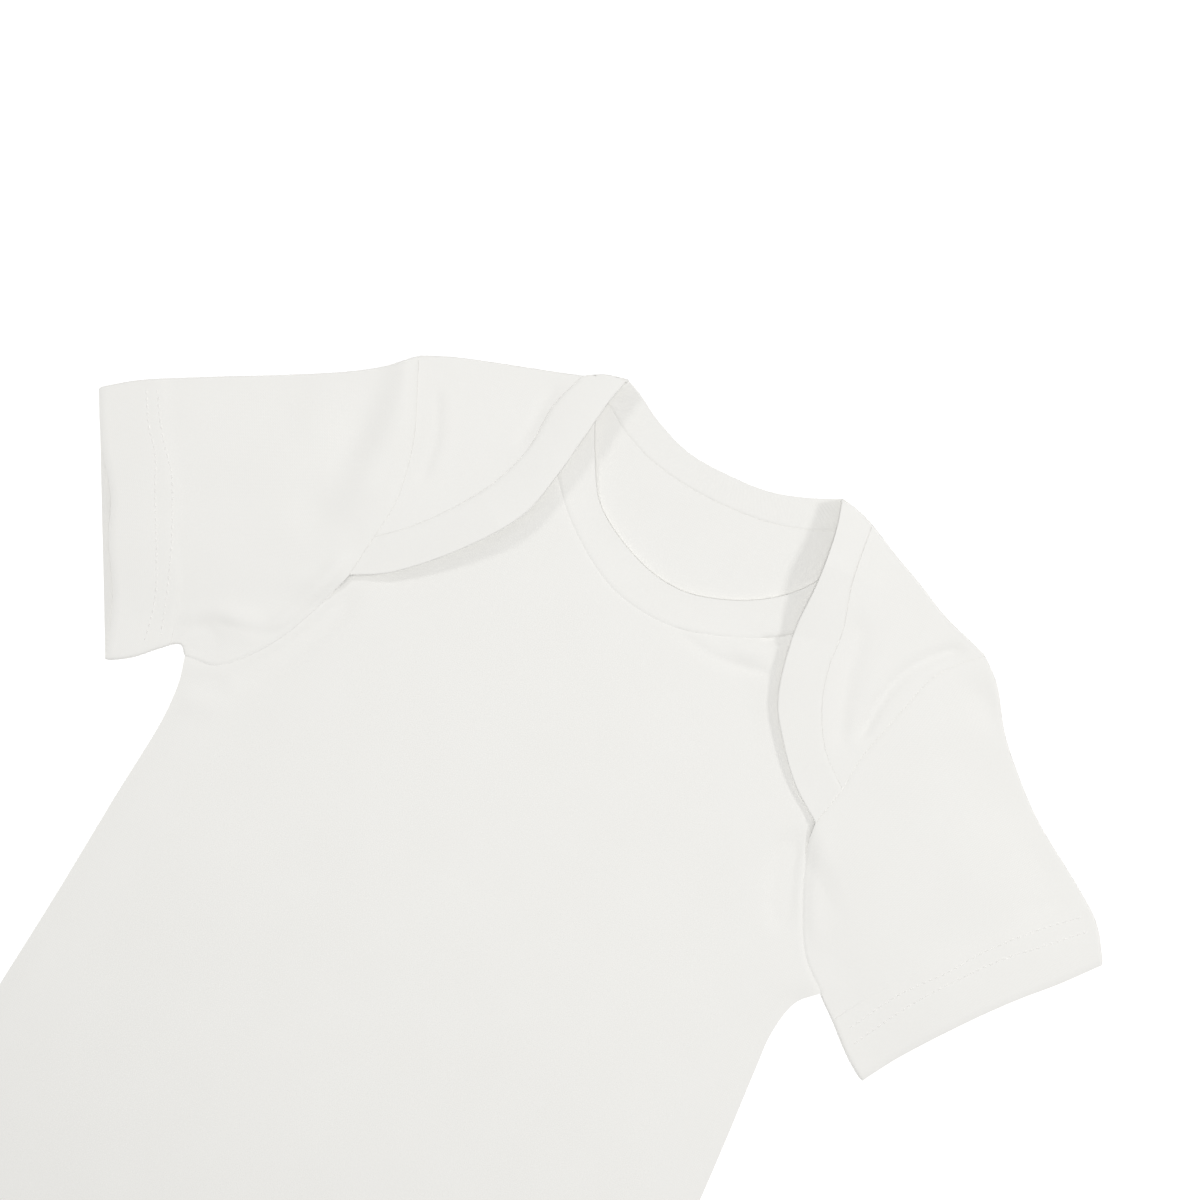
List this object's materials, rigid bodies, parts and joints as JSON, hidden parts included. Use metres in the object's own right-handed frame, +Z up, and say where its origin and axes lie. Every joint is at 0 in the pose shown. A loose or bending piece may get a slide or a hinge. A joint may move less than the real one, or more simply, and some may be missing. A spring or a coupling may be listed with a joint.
{
  "type": "baby bodysuit laid flat",
  "caption": "Short-sleeved baby bodysuit with lapped envelope shoulders, rib neck and leg bindings and a snap crotch, laid flat, front up.",
  "frame": {"origin": "on the underside of the back panel, near the middle of the body, 176 mm below the line through the shoulder points", "axes": "+X to the right of the picture's garment (the wearer's left), +Y from the crotch to the neck, +Z up out of the front"},
  "size_m": [0.3469, 0.4005, 0.007],
  "materials": {
    "jersey": "fine matt cotton jersey, off-white",
    "rib": "fine matt cotton rib, off-white",
    "snap": "smooth pale enamel"
  },
  "bodies": {
    "root": {"back_panel": "jersey", "front_panel": "jersey", "back_neck_binding": "rib", "front_neck_binding": "rib", "sleeve_left": "jersey", "sleeve_right": "jersey", "leg_binding_left": "rib", "leg_binding_right": "rib", "snap_stud_1": "snap", "snap_cap_1": "snap", "snap_stud_2": "snap", "snap_cap_2": "snap", "snap_stud_3": "snap", "snap_cap_3": "snap"}
  },
  "joints": []
}
